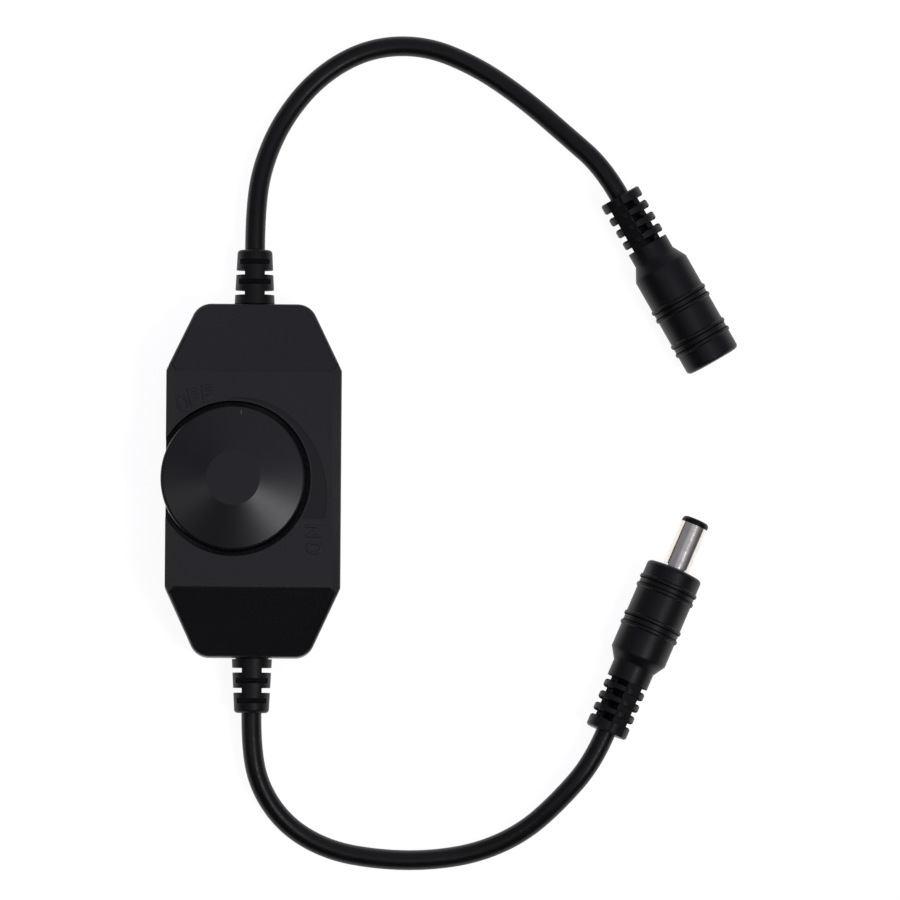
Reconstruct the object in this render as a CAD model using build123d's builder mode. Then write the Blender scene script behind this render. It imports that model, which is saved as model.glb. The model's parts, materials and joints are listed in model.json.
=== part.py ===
from build123d import *
from math import asin, cos, degrees, pi, radians, sin, tan
import os

# In-line rotary dimmer for LED strip, on a short lead with a DC socket and a DC plug. Millimetres.
# The origin is the centre of the housing's underside: +Y towards the input cord, +Z out of the panel.

os.makedirs("parts", exist_ok=True)

# Housing
housing_length = 70.3
housing_width = 34.8
housing_height = 20.0
waist_length = 43.0
end_width = 22.2
end_height = 11.0
wall = 1.8
parting_height = 6.0
side_bevel = 1.85
end_corner_radius = 4.0
slope_rounding = 0.8
base_rounding = 0.8
seam_depth = 0.25
seam_height = 0.3
tongue_thickness = 0.7
tongue_height = 1.2
tongue_gap = 0.1

# Knob well and the brightness wedge beside it
knob_x = -4.05
well_radius = 15.4
well_wall = 1.4
well_floor_height = 12.0
well_floor = 1.5
bush_hole_gap = 0.2
wedge_rim = 0.4
wedge_depth = 0.3
wedge_start_angle = 95.0
wedge_outline = [(18.2, -7.84), (18.5, -1.5), (16.0, 6.6), (8.2, 14.4)]

# Knob
knob_radius = 14.35
knob_gap = 0.6
knob_rim_height = 21.0
knob_top_height = 23.0
knob_disc_radius = 5.35
knob_edge_rounding = 0.7
knob_skin = 1.6
knob_rim_thickness = 1.7
knob_hub_radius = 5.0
knob_rib_count = 6
knob_rib_thickness = 1.0
flute_count = 88
flute_size = 0.45
flute_margin = 1.1
pointer_angle = 83.0
pointer_width = 0.4
pointer_length = 1.1
pointer_depth = 0.15
pointer_edge = 0.6

# Potentiometer
shaft_radius = 3.0
shaft_clearance = 0.06
shaft_length_in_knob = 6.0
shaft_flat = 1.5
shaft_chamfer = 0.3
knob_fit_gap = 0.05
bush_radius = 3.5
bush_height = 1.0
pot_width = 12.4
pot_depth = 11.6
wafer_thickness = 1.4
wafer_corner = 0.5
can_wall = 0.6
rotor_radius = 4.6
rotor_thickness = 1.2
rotor_gap = 0.2
wiper_thickness = 0.3
wiper_inner_radius = 3.2
wiper_gap = 0.15
finger_width = 1.2
finger_length = 1.6
terminal_pitch = 2.5
terminal_count = 3
terminal_width = 0.9
terminal_thickness = 0.4
terminal_reach = 1.2
terminal_stub = 1.0
lug_width = 1.8
pin_hole_gap = 0.15

# Circuit board
board_thickness = 1.6
board_bottom = 3.4
board_length = 54.0
board_gap = 0.6
boss_x = 11.0
boss_y = 17.0
boss_radius = 1.8
boss_pin_radius = 0.9
boss_pin_height = 1.6
boss_pin_gap = 0.15
post_radius = 1.6
post_gap = 0.1

# Strain reliefs at the housing
cord_diameter = 4.0
gland_height = 6.0
gland_length = 11.0
gland_base_radius = 4.0
gland_tip_radius = 3.45
gland_tip_rounding = 0.7
gland_neck_radius = 3.3
gland_neck_gap = 0.1
gland_flange_radius = 3.9
gland_flange_thickness = 1.8
gland_shadow_gap = 0.3
gland_slot = 1.0
gland_side_slots = (2.5, 6.5)
gland_face_slots = (4.6, 8.6)
gland_web = 2.0

# Parts soldered on the board: places, and length, width and height of their bodies
mosfet_place = (5.0, -16.5)
mosfet_size = (6.6, 6.1, 2.3)
mosfet_tab = 1.0
mosfet_lead = 2.9
chip_place = (9.2, 4.0)
chip_size = (3.9, 4.9, 1.5)
chip_lead = 1.05
chip_pitch = 1.27
regulator_place = (9.0, -5.0)
regulator_size = (6.5, 3.5, 1.6)
regulator_lead = 1.75
regulator_pitch = 2.3
diode_place = (-4.0, 19.0)
diode_size = (4.3, 2.6, 2.2)
diode_lead = 0.5
can_place = (5.6, 18.2)
can_radius = 3.15
can_height = 5.4
can_base = 6.6
can_base_height = 0.9
chip_capacitor_places = ((9.5, 9.6), (-7.0, -12.0), (-7.0, 12.0))
chip_capacitor_size = (2.0, 1.25, 1.1)
resistor_places = ((9.5, 12.2), (-1.5, 12.0), (-1.5, -12.0), (-7.0, -15.0), (12.8, -12.0))
resistor_size = (2.0, 1.25, 0.5)
lead_thickness = 0.3
lead_width = 0.45
body_chamfer = 0.25

# Wires inside the housing
wire_radius = 0.6
wire_bend = 4.0
wire_spread = 1.1
wire_pad_spread = 2.4
wire_straight = 2.2
wire_pad_y = 23.6
solder_radius = 1.1

# Overmoulded connectors, lengths measured back from the front face
grip_radius = 5.75
ridge_radius = 6.05
ridge_width = 1.0
front_crown = 0.5
front_rounding = 0.8
relief_radius = 4.25
relief_web = 3.2
relief_web_inset = 0.15
relief_core_radius = 2.15
rib_chamfer = 0.3
rib_count = 3
fit_gap = 0.05

# Plug, 5.5 mm outside and 2.1 mm inside
plug_face = (84.4, -16.7, 6.0)
plug_heading = 22.9
plug_dip = 1.5
plug_roll = 25.0
plug_ridges = (3.9, 5.7, 11.9, 13.8)
plug_shoulder = 19.1
plug_neck = 21.5
plug_relief_start = 24.7
plug_gap = 0.95
plug_rib = 1.55
plug_end_rib = 2.4
barrel_radius = 2.75
barrel_wall = 0.35
barrel_length = 9.3
barrel_root = 0.2
barrel_step = 0.4
barrel_tail = 7.0
barrel_tail_radius = 2.45
barrel_flange_radius = 3.6
barrel_flange = 1.0
tip_length = 1.25
tip_rounding = 0.8
plug_bore_radius = 1.05
plug_contact_wall = 0.4
plug_contact_recess = 0.6
plug_mouth_radius = 1.25
plug_bore_depth = 9.0
plug_contact_tail = 8.5

# Socket for the same plug
socket_mouth = (91.83, 24.46, 5.72)
socket_heading = 149.8
socket_dip = 2.5
socket_roll = 25.0
socket_ridges = (4.8, 6.7, 12.7, 14.5)
socket_shoulder = 21.5
socket_neck = 24.2
socket_relief_start = 27.1
socket_gap = 1.0
socket_rib = 1.7
socket_end_rib = 2.1
socket_core_radius = 4.3
socket_core_length = 12.0
socket_core_recess = 0.4
socket_bore_radius = 2.95
socket_bore_depth = 9.8
pin_radius = 1.0
pin_length = 8.6
pin_root = 0.2
pin_tail = 3.5
pin_tail_radius = 0.8
pin_tip_chamfer = 0.4
contact_width = 1.6
contact_thickness = 0.3
contact_front_gap = 1.2

# Routes of the two cords, from the housing to the connector; the last two points come from the connector
cord_lead_in = 6.5
bend_share = 0.45
input_route = [
    (0.0, 53.5, 6.0),
    (1.2, 62.8, 4.6),
    (5.35, 72.75, 2.6),
    (12.6, 81.6, 2.0),
    (22.4, 87.2, 2.0),
    (33.5, 87.85, 2.0),
    (44.1, 83.65, 2.2),
    (53.7, 77.0, 3.6),
    (61.9, 69.7, 6.2),
]
output_route = [
    (0.0, -53.5, 6.0),
    (2.0, -61.6, 4.6),
    (7.4, -68.8, 2.8),
    (15.7, -73.4, 2.0),
    (25.6, -75.1, 2.0),
    (35.6, -75.25, 2.0),
    (45.6, -73.6, 2.2),
    (54.4, -69.5, 3.4),
    (61.4, -63.2, 5.6),
]

# Sizes and levels that follow from the ones above
tolerance = 0.01
half_length = housing_length / 2
half_width = housing_width / 2
half_waist = waist_length / 2
cord_radius = cord_diameter / 2
board_top = board_bottom + board_thickness
well_underside = well_floor_height - well_floor
wafer_top = board_top + wafer_thickness
can_ceiling = well_underside - can_wall
bush_top = well_floor_height + bush_height
bush_bore_radius = shaft_radius + shaft_clearance
rotor_top = can_ceiling - rotor_gap
rotor_bottom = rotor_top - rotor_thickness
knob_bottom = well_floor_height + knob_gap
knob_hub_bottom = bush_top + knob_gap
shaft_top = knob_hub_bottom + shaft_length_in_knob
solder_height = gland_height - wire_radius - board_top
plug_length = plug_relief_start + (rib_count + 1) * plug_gap + rib_count * plug_rib + plug_end_rib
socket_length = socket_relief_start + (rib_count + 1) * socket_gap + rib_count * socket_rib + socket_end_rib


# Housing outline in plan and from the side

with BuildSketch() as plan:
    with BuildLine():
        Polyline(
            (half_width, -half_waist),
            (half_width, half_waist),
            (end_width / 2, half_length),
            (-end_width / 2, half_length),
            (-half_width, half_waist),
            (-half_width, -half_waist),
            (-end_width / 2, -half_length),
            (end_width / 2, -half_length),
            close=True,
        )
    make_face()
    end_corners = plan.vertices().group_by(Axis.Y)
    fillet(end_corners[0] + end_corners[-1], end_corner_radius)

with BuildSketch(Plane.YZ) as side_view:
    with BuildLine():
        Polyline(
            (-half_length, 0),
            (half_length, 0),
            (half_length, end_height),
            (half_waist, housing_height),
            (-half_waist, housing_height),
            (-half_length, end_height),
            close=True,
        )
    make_face()

with BuildSketch(Plane.XZ) as end_view:
    with Locations((0, housing_height / 2)):
        Rectangle(housing_width, housing_height)
    chamfer(end_view.vertices().group_by(Axis.Y)[-1], side_bevel)

with BuildPart() as housing_form:
    with BuildSketch():
        add(plan.sketch_local)
    extrude(amount=housing_height)
    with BuildSketch(Plane.YZ.offset(-half_width)):
        add(side_view.sketch_local)
    extrude(amount=housing_width, mode=Mode.INTERSECT)
    with BuildSketch(Plane.XZ.offset(-half_length)):
        add(end_view.sketch_local)
    extrude(amount=housing_length, mode=Mode.INTERSECT)
    end_edges = housing_form.edges().filter_by(lambda e: abs(e.center().Y) > half_waist + side_bevel)
    fillet(end_edges.filter_by(lambda e: e.center().Z > end_height - tolerance), slope_rounding)
    fillet(housing_form.faces().sort_by(Axis.Z)[0].edges(), base_rounding)

with BuildPart() as cavity_form:
    with BuildSketch(Plane.XY.offset(wall)):
        add(plan.sketch_local)
        offset(amount=-wall, kind=Kind.INTERSECTION, mode=Mode.REPLACE)
    extrude(amount=housing_height)
    with BuildSketch(Plane.YZ.offset(-half_width)):
        add(side_view.sketch_local)
        offset(amount=-wall, kind=Kind.INTERSECTION, mode=Mode.REPLACE)
    extrude(amount=housing_width, mode=Mode.INTERSECT)
    with BuildSketch(Plane.XZ.offset(-half_length)):
        add(end_view.sketch_local)
        offset(amount=-wall, kind=Kind.INTERSECTION, mode=Mode.REPLACE)
    extrude(amount=housing_length, mode=Mode.INTERSECT)


def inset_plan(distance):
    """The housing's plan, moved inwards by a distance."""
    with BuildSketch() as inset:
        add(plan.sketch_local)
        offset(amount=-distance, kind=Kind.INTERSECTION, mode=Mode.REPLACE)
    return inset.sketch_local


inner_plan = inset_plan(wall)
tongue_plan = inset_plan(wall - tongue_thickness)
rebate_plan = inset_plan(wall - tongue_thickness - tongue_gap)
seam_plan = inset_plan(seam_depth)
board_plan = inset_plan(wall + board_gap)


# Upper shell, with the knob well open through its left side

with BuildPart() as well_cup:
    with BuildSketch(Plane.XY.offset(well_underside)):
        with Locations((knob_x, 0)):
            Circle(well_radius + well_wall)
    extrude(amount=housing_height - well_underside)
    add(housing_form.part, mode=Mode.INTERSECT)

with BuildPart() as top_housing:
    add(housing_form.part)
    add(cavity_form.part, mode=Mode.SUBTRACT)
    split(bisect_by=Plane.XY.offset(parting_height), keep=Keep.TOP)
    # Rebate for the lower shell's tongue, and the fine groove that shows at the seam
    with BuildSketch(Plane.XY.offset(parting_height)):
        add(rebate_plan)
    extrude(amount=tongue_height + tongue_gap, mode=Mode.SUBTRACT)
    with BuildSketch(Plane.XY.offset(parting_height)):
        add(plan.sketch_local)
        add(seam_plan, mode=Mode.SUBTRACT)
    extrude(amount=seam_height, mode=Mode.SUBTRACT)
    # Posts that hold the circuit board down, bored for the lower shell's pins
    with BuildSketch(Plane.XY.offset(board_top + post_gap)):
        with GridLocations(2 * boss_x, 2 * boss_y, 2, 2):
            Circle(post_radius)
    extrude(amount=housing_height - wall / 2 - board_top - post_gap)
    with BuildSketch(Plane.XY.offset(board_top + post_gap)):
        with GridLocations(2 * boss_x, 2 * boss_y, 2, 2):
            Circle(boss_pin_radius + boss_pin_gap)
    extrude(amount=boss_pin_height, mode=Mode.SUBTRACT)
    # Knob well and the hole for the potentiometer's bush
    add(well_cup.part)
    with BuildSketch(Plane.XY.offset(well_floor_height)):
        with Locations((knob_x, 0)):
            Circle(well_radius)
    extrude(amount=housing_height - well_floor_height, mode=Mode.SUBTRACT)
    with BuildSketch(Plane.XY.offset(well_underside)):
        with Locations((knob_x, 0)):
            Circle(bush_radius + bush_hole_gap)
    extrude(amount=well_floor, mode=Mode.SUBTRACT)
    # Wedge that widens clockwise round the well, from off to full brightness
    wedge_radius = well_radius + wedge_rim
    wedge_end_angle = degrees(asin(wedge_outline[0][1] / wedge_radius))
    with BuildSketch(Plane((knob_x, 0, housing_height))):
        with BuildLine():
            wedge_arc = wedge_start_angle - wedge_end_angle
            wedge_inside = CenterArc((0, 0), wedge_radius, wedge_end_angle, wedge_arc)
            Line(wedge_inside @ 0, wedge_outline[0])
            Spline(*wedge_outline, wedge_inside @ 1)
        make_face()
    extrude(amount=-wedge_depth, mode=Mode.SUBTRACT)
    # Cord openings
    with BuildSketch(Plane.XZ.offset(-half_length)):
        with Locations((0, gland_height)):
            Circle(gland_neck_radius + gland_neck_gap)
    extrude(amount=housing_length, mode=Mode.SUBTRACT)

top_housing.part.label = "top_housing"
export_step(top_housing.part, "parts/top_housing.step")


# Lower shell, with the pins that locate the circuit board

with BuildPart() as bottom_housing:
    add(housing_form.part)
    add(cavity_form.part, mode=Mode.SUBTRACT)
    split(bisect_by=Plane.XY.offset(parting_height), keep=Keep.BOTTOM)
    with BuildSketch(Plane.XY.offset(parting_height)):
        add(tongue_plan)
        add(inner_plan, mode=Mode.SUBTRACT)
    extrude(amount=tongue_height)
    with BuildSketch(Plane.XY.offset(wall)):
        with GridLocations(2 * boss_x, 2 * boss_y, 2, 2):
            Circle(boss_radius)
    extrude(amount=board_bottom - wall)
    with BuildSketch(Plane.XY.offset(board_bottom)):
        with GridLocations(2 * boss_x, 2 * boss_y, 2, 2):
            Circle(boss_pin_radius)
    extrude(amount=board_thickness + boss_pin_height)
    with BuildSketch(Plane.XZ.offset(-half_length)):
        with Locations((0, gland_height)):
            Circle(gland_neck_radius + gland_neck_gap)
    extrude(amount=housing_length, mode=Mode.SUBTRACT)

bottom_housing.part.label = "bottom_housing"
export_step(bottom_housing.part, "parts/bottom_housing.step")


# Potentiometer under the well floor; its shaft, wiper and the knob turn together

pot_axis = Axis((knob_x, 0, 0), (0, 0, 1))
terminal_x = pot_width / 2 + terminal_reach
terminal_ys = [terminal_pitch * (i - (terminal_count - 1) / 2) for i in range(terminal_count)]
switch_ys = (-terminal_pitch, terminal_pitch)
lug_y = pot_depth / 2 + can_wall / 2


def turned_plane(angle, height=0.0):
    """Level plane on the knob's axis, its x direction turned from the row's by an angle."""
    return Plane((knob_x, 0, height), x_dir=(cos(radians(angle)), sin(radians(angle)), 0))


def knob_section(angle):
    """Upright plane through the knob's axis: x is the distance from the axis, y is the height."""
    flat = turned_plane(angle)
    return Plane(flat.origin, x_dir=flat.x_dir, z_dir=-flat.y_dir)


def d_shape(radius, flat_distance):
    """Circle with one side cut flat at a distance from its centre."""
    Circle(radius)
    with Locations(((flat_distance - radius) / 2, 0)):
        Rectangle(flat_distance + radius, 2 * radius, mode=Mode.INTERSECT)


with BuildPart() as potentiometer_track:
    with BuildSketch(Plane((knob_x, 0, board_top))):
        Rectangle(pot_width, pot_depth)
    extrude(amount=wafer_thickness)
    fillet(potentiometer_track.edges().filter_by(Axis.Z), wafer_corner)

potentiometer_track.part.label = "potentiometer_track"
export_step(potentiometer_track.part, "parts/potentiometer_track.step")

with BuildPart() as potentiometer_body:
    with BuildSketch(Plane((knob_x, 0, wafer_top))):
        Rectangle(pot_width, pot_depth)
    extrude(amount=well_underside - wafer_top)
    with BuildSketch(Plane((knob_x, 0, wafer_top))):
        Circle(pot_depth / 2 - can_wall)
    extrude(amount=can_ceiling - wafer_top, mode=Mode.SUBTRACT)
    with BuildSketch(Plane((knob_x, 0, well_underside))):
        Circle(bush_radius)
    extrude(amount=bush_top - well_underside)
    with BuildSketch(Plane((knob_x, 0, can_ceiling))):
        Circle(bush_bore_radius)
    extrude(amount=bush_top - can_ceiling, mode=Mode.SUBTRACT)
    # Two lugs that pass through the circuit board
    with BuildSketch(Plane((knob_x, 0, board_bottom - terminal_stub))):
        with GridLocations(0, 2 * lug_y, 1, 2):
            Rectangle(lug_width, can_wall)
    extrude(amount=can_ceiling - board_bottom + terminal_stub)

potentiometer_body.part.label = "potentiometer_body"
export_step(potentiometer_body.part, "parts/potentiometer_body.step")

with BuildPart() as potentiometer_shaft:
    with BuildSketch(turned_plane(pointer_angle, rotor_bottom)):
        Circle(rotor_radius)
    extrude(amount=rotor_thickness)
    with BuildSketch(turned_plane(pointer_angle, rotor_top)):
        Circle(shaft_radius)
    extrude(amount=knob_hub_bottom - rotor_top)
    with BuildSketch(turned_plane(pointer_angle, knob_hub_bottom)):
        d_shape(shaft_radius, shaft_flat)
    extrude(amount=shaft_top - knob_hub_bottom)
    chamfer(potentiometer_shaft.faces().sort_by(Axis.Z)[-1].edges(), shaft_chamfer)

potentiometer_shaft.part.label = "potentiometer_shaft"
export_step(potentiometer_shaft.part, "parts/potentiometer_shaft.step")

with BuildPart() as potentiometer_wiper:
    with BuildSketch(turned_plane(pointer_angle, rotor_bottom - wiper_thickness)):
        Circle(rotor_radius)
        Circle(wiper_inner_radius, mode=Mode.SUBTRACT)
    extrude(amount=wiper_thickness)
    # Two sprung fingers that reach down to the track
    finger_radius = (rotor_radius + wiper_inner_radius) / 2
    for side in (0, 180):
        middle = turned_plane(pointer_angle + side)
        finger_place = middle.from_local_coords(Vector(finger_radius, 0, 0))
        with BuildSketch(Plane(finger_place, middle.y_dir, middle.x_dir)):
            with BuildLine():
                Polyline(
                    (-wiper_thickness, rotor_bottom - wiper_thickness),
                    (wiper_thickness, rotor_bottom - wiper_thickness),
                    (finger_length, wafer_top + wiper_gap),
                    (finger_length - 2 * wiper_thickness, wafer_top + wiper_gap),
                    close=True,
                )
            make_face()
        extrude(amount=finger_width / 2, both=True)

potentiometer_wiper.part.label = "potentiometer_wiper"
export_step(potentiometer_wiper.part, "parts/potentiometer_wiper.step")

with BuildPart() as potentiometer_terminals:
    lead_height = board_top + wafer_thickness / 2
    lead_foot = board_bottom - terminal_stub
    for outward, places in ((1, terminal_ys), (-1, switch_ys)):
        for place in places:
            with BuildSketch(Plane((knob_x, place, 0), x_dir=(outward, 0, 0), z_dir=(0, -outward, 0))):
                with BuildLine():
                    Polyline(
                        (pot_width / 2, lead_height),
                        (terminal_x, lead_height),
                        (terminal_x, lead_foot),
                        (terminal_x - terminal_thickness, lead_foot),
                        (terminal_x - terminal_thickness, lead_height - terminal_thickness),
                        (pot_width / 2, lead_height - terminal_thickness),
                        close=True,
                    )
                make_face()
            extrude(amount=terminal_width / 2, both=True)

potentiometer_terminals.part.label = "potentiometer_terminals"
export_step(potentiometer_terminals.part, "parts/potentiometer_terminals.step")


# Knob: fluted rim, shallow cone with a flat disc, hollow below with a hub for the shaft

knob_slope = (knob_top_height - knob_rim_height) / (knob_radius - knob_disc_radius)
knob_rim_inside = knob_radius - knob_rim_thickness


def cone_height(radius):
    """Height of the knob's cone at a distance from its axis."""
    return knob_rim_height + knob_slope * (knob_radius - radius)


with BuildPart() as knob:
    with BuildSketch(knob_section(pointer_angle)):
        with BuildLine():
            Polyline(
                (0, knob_bottom),
                (knob_radius, knob_bottom),
                (knob_radius, knob_rim_height),
                (knob_disc_radius, knob_top_height),
                (0, knob_top_height),
                close=True,
            )
        make_face()
    revolve(axis=pot_axis)
    circles = knob.edges().filter_by(GeomType.CIRCLE)
    rim_edges = circles.filter_by(lambda e: abs(e.radius - knob_radius) < tolerance)
    fillet(rim_edges.sort_by(Axis.Z)[-1], knob_edge_rounding)
    # Underside, left with a hub
    with BuildSketch(knob_section(pointer_angle)):
        with BuildLine():
            Polyline(
                (0, knob_bottom),
                (knob_rim_inside, knob_bottom),
                (knob_rim_inside, cone_height(knob_rim_inside) - knob_skin),
                (knob_hub_radius, cone_height(knob_hub_radius) - knob_skin),
                (knob_hub_radius, knob_hub_bottom),
                (0, knob_hub_bottom),
                close=True,
            )
        make_face()
    revolve(axis=pot_axis, mode=Mode.SUBTRACT)
    for i in range(knob_rib_count):
        with BuildSketch(knob_section(pointer_angle + 360 * i / knob_rib_count)):
            with BuildLine():
                Polyline(
                    (knob_hub_radius - knob_rib_thickness / 2, knob_hub_bottom + knob_skin),
                    (knob_rim_inside + knob_rib_thickness / 2, knob_hub_bottom + knob_skin),
                    (knob_rim_inside + knob_rib_thickness / 2, cone_height(knob_rim_inside) - knob_skin / 2),
                    (knob_hub_radius - knob_rib_thickness / 2, cone_height(knob_hub_radius) - knob_skin / 2),
                    close=True,
                )
            make_face()
        extrude(amount=knob_rib_thickness / 2, both=True)
    with BuildSketch(turned_plane(pointer_angle, knob_hub_bottom)):
        d_shape(shaft_radius + knob_fit_gap, shaft_flat + knob_fit_gap)
    extrude(amount=shaft_length_in_knob + knob_fit_gap, mode=Mode.SUBTRACT)
    # Sharp flutes for the thumb, stopped short of the rounded edge
    with BuildSketch(turned_plane(pointer_angle, knob_bottom)):
        with PolarLocations(knob_radius, flute_count):
            Rectangle(flute_size, flute_size, rotation=45)
    extrude(amount=knob_rim_height - flute_margin - knob_bottom, mode=Mode.SUBTRACT)
    # Groove of the pointer
    pointer_outer = knob_radius - pointer_edge
    pointer_inner = pointer_outer - pointer_length
    with BuildSketch(knob_section(pointer_angle)):
        with BuildLine():
            Polyline(
                (pointer_inner, cone_height(pointer_inner) + pointer_depth),
                (pointer_outer, cone_height(pointer_outer) + pointer_depth),
                (pointer_outer, cone_height(pointer_outer) - pointer_depth),
                (pointer_inner, cone_height(pointer_inner) - pointer_depth),
                close=True,
            )
        make_face()
    extrude(amount=pointer_width / 2, both=True, mode=Mode.SUBTRACT)

knob.part.label = "knob"
export_step(knob.part, "parts/knob.step")


# Circuit board and the parts soldered on it

with BuildPart() as circuit_board:
    with BuildSketch(Plane.XY.offset(board_bottom)):
        add(board_plan)
        Rectangle(housing_width, board_length, mode=Mode.INTERSECT)
        with GridLocations(2 * boss_x, 2 * boss_y, 2, 2):
            Circle(boss_pin_radius + boss_pin_gap, mode=Mode.SUBTRACT)
        for outward, places in ((1, terminal_ys), (-1, switch_ys)):
            hole_x = knob_x + outward * (terminal_x - terminal_thickness / 2)
            with Locations(*[(hole_x, place) for place in places]):
                Rectangle(
                    terminal_thickness + 2 * pin_hole_gap,
                    terminal_width + 2 * pin_hole_gap,
                    mode=Mode.SUBTRACT,
                )
        with Locations((knob_x, lug_y), (knob_x, -lug_y)):
            Rectangle(lug_width + 2 * pin_hole_gap, can_wall + 2 * pin_hole_gap, mode=Mode.SUBTRACT)
    extrude(amount=board_thickness)

circuit_board.part.label = "circuit_board"
export_step(circuit_board.part, "parts/circuit_board.step")


def on_board(place):
    """Plane on the board's upper face at a place."""
    return Plane((place[0], place[1], board_top))


with BuildPart() as mosfet:
    with BuildSketch(on_board(mosfet_place)):
        Rectangle(mosfet_size[0], mosfet_size[1])
    extrude(amount=mosfet_size[2])
    chamfer(mosfet.faces().sort_by(Axis.Z)[-1].edges(), body_chamfer)
    with BuildSketch(on_board(mosfet_place)):
        with Locations((0, -(mosfet_size[1] + mosfet_tab) / 2)):
            Rectangle(mosfet_size[0] - 2 * mosfet_tab, mosfet_tab)
        with Locations((0, (mosfet_size[1] + mosfet_lead) / 2)):
            with GridLocations(2 * regulator_pitch, 0, 2, 1):
                Rectangle(2 * lead_width, mosfet_lead)
    extrude(amount=2 * lead_thickness)

mosfet.part.label = "mosfet"
export_step(mosfet.part, "parts/mosfet.step")

with BuildPart() as control_chip:
    with BuildSketch(on_board(chip_place)):
        Rectangle(chip_size[0], chip_size[1])
    extrude(amount=chip_size[2])
    chamfer(control_chip.faces().sort_by(Axis.Z)[-1].edges(), body_chamfer)
    with BuildSketch(on_board(chip_place)):
        with GridLocations(chip_size[0] + chip_lead, chip_pitch, 2, 4):
            Rectangle(chip_lead, lead_width)
    extrude(amount=lead_thickness)

control_chip.part.label = "control_chip"
export_step(control_chip.part, "parts/control_chip.step")

with BuildPart() as voltage_regulator:
    with BuildSketch(on_board(regulator_place)):
        Rectangle(regulator_size[0], regulator_size[1])
    extrude(amount=regulator_size[2])
    chamfer(voltage_regulator.faces().sort_by(Axis.Z)[-1].edges(), body_chamfer)
    with BuildSketch(on_board(regulator_place)):
        with Locations((0, (regulator_size[1] + regulator_lead) / 2)):
            Rectangle(regulator_size[1] - lead_width, regulator_lead)
        with Locations((0, -(regulator_size[1] + regulator_lead) / 2)):
            with GridLocations(regulator_pitch, 0, 3, 1):
                Rectangle(2 * lead_width, regulator_lead)
    extrude(amount=lead_thickness)

voltage_regulator.part.label = "voltage_regulator"
export_step(voltage_regulator.part, "parts/voltage_regulator.step")

with BuildPart() as diode:
    with BuildSketch(on_board(diode_place)):
        Rectangle(diode_size[0], diode_size[1])
    extrude(amount=diode_size[2])
    chamfer(diode.faces().sort_by(Axis.Z)[-1].edges(), body_chamfer)
    with BuildSketch(on_board(diode_place)):
        with GridLocations(diode_size[0] + diode_lead, 0, 2, 1):
            Rectangle(diode_lead, diode_size[1] / 2)
    extrude(amount=lead_thickness)

diode.part.label = "diode"
export_step(diode.part, "parts/diode.step")

with BuildPart() as electrolytic_capacitor:
    with BuildSketch(on_board(can_place)):
        Rectangle(can_base, can_base)
    extrude(amount=can_base_height)
    chamfer(electrolytic_capacitor.edges().filter_by(Axis.Z).group_by(Axis.X)[-1], can_base_height)
    with BuildSketch(on_board(can_place).offset(can_base_height)):
        Circle(can_radius)
    extrude(amount=can_height - can_base_height)
    chamfer(electrolytic_capacitor.faces().sort_by(Axis.Z)[-1].edges(), body_chamfer)

electrolytic_capacitor.part.label = "electrolytic_capacitor"
export_step(electrolytic_capacitor.part, "parts/electrolytic_capacitor.step")

with BuildPart() as ceramic_capacitors:
    with BuildSketch(Plane.XY.offset(board_top)):
        with Locations(*chip_capacitor_places):
            Rectangle(chip_capacitor_size[0], chip_capacitor_size[1])
    extrude(amount=chip_capacitor_size[2])

ceramic_capacitors.part.label = "ceramic_capacitors"
export_step(ceramic_capacitors.part, "parts/ceramic_capacitors.step")

with BuildPart() as resistors:
    with BuildSketch(Plane.XY.offset(board_top)):
        with Locations(*resistor_places):
            Rectangle(resistor_size[0], resistor_size[1])
    extrude(amount=resistor_size[2])

resistors.part.label = "resistors"
export_step(resistors.part, "parts/resistors.step")

with BuildPart() as solder_joints:
    with BuildSketch(Plane.XY.offset(board_top)):
        with GridLocations(2 * wire_pad_spread, 2 * wire_pad_y, 2, 2):
            Circle(solder_radius)
    extrude(amount=solder_height)
    chamfer(solder_joints.faces().group_by(Axis.Z)[-1].edges(), solder_height / 2)

solder_joints.part.label = "solder_joints"
export_step(solder_joints.part, "parts/solder_joints.step")


# Strain reliefs held in the housing's ends, slotted in turn at the sides and at the faces

gland_root = half_length - wall - gland_flange_thickness
gland_end = half_length + gland_length

with BuildPart() as input_gland:
    with BuildSketch(Plane((0, 0, gland_height))):
        with BuildLine():
            Polyline(
                (0, gland_root),
                (gland_flange_radius, gland_root),
                (gland_flange_radius, half_length - wall),
                (gland_neck_radius, half_length - wall),
                (gland_neck_radius, half_length + gland_shadow_gap),
                (gland_base_radius, half_length + gland_shadow_gap),
                (gland_tip_radius, gland_end),
                (0, gland_end),
                close=True,
            )
        make_face()
    gland_axis = Axis((0, 0, gland_height), (0, 1, 0))
    revolve(axis=gland_axis)
    fillet(input_gland.faces().sort_by(Axis.Y)[-1].edges(), gland_tip_rounding)
    slot_reach = gland_base_radius - gland_web
    for side in (-1, 1):
        # Slots at the sides leave a web that shows from above; slots at the faces leave two side webs
        with BuildSketch(Plane((0, half_length, gland_height - gland_base_radius))):
            for slot in gland_side_slots:
                with Locations((side * (gland_web + slot_reach / 2), slot)):
                    Rectangle(slot_reach, gland_slot)
        extrude(amount=2 * gland_base_radius, mode=Mode.SUBTRACT)
        side_origin = (-gland_base_radius, half_length, gland_height)
        with BuildSketch(Plane(side_origin, x_dir=(0, 0, 1), z_dir=(1, 0, 0))):
            for slot in gland_face_slots:
                with Locations((side * (gland_web + slot_reach / 2), -slot)):
                    Rectangle(slot_reach, gland_slot)
        extrude(amount=2 * gland_base_radius, mode=Mode.SUBTRACT)

input_gland.part.label = "input_gland"
export_step(input_gland.part, "parts/input_gland.step")

with BuildPart() as output_gland:
    add(mirror(input_gland.part, about=Plane.XZ))

output_gland.part.label = "output_gland"
export_step(output_gland.part, "parts/output_gland.step")


# Four wires from the reliefs to the board

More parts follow.
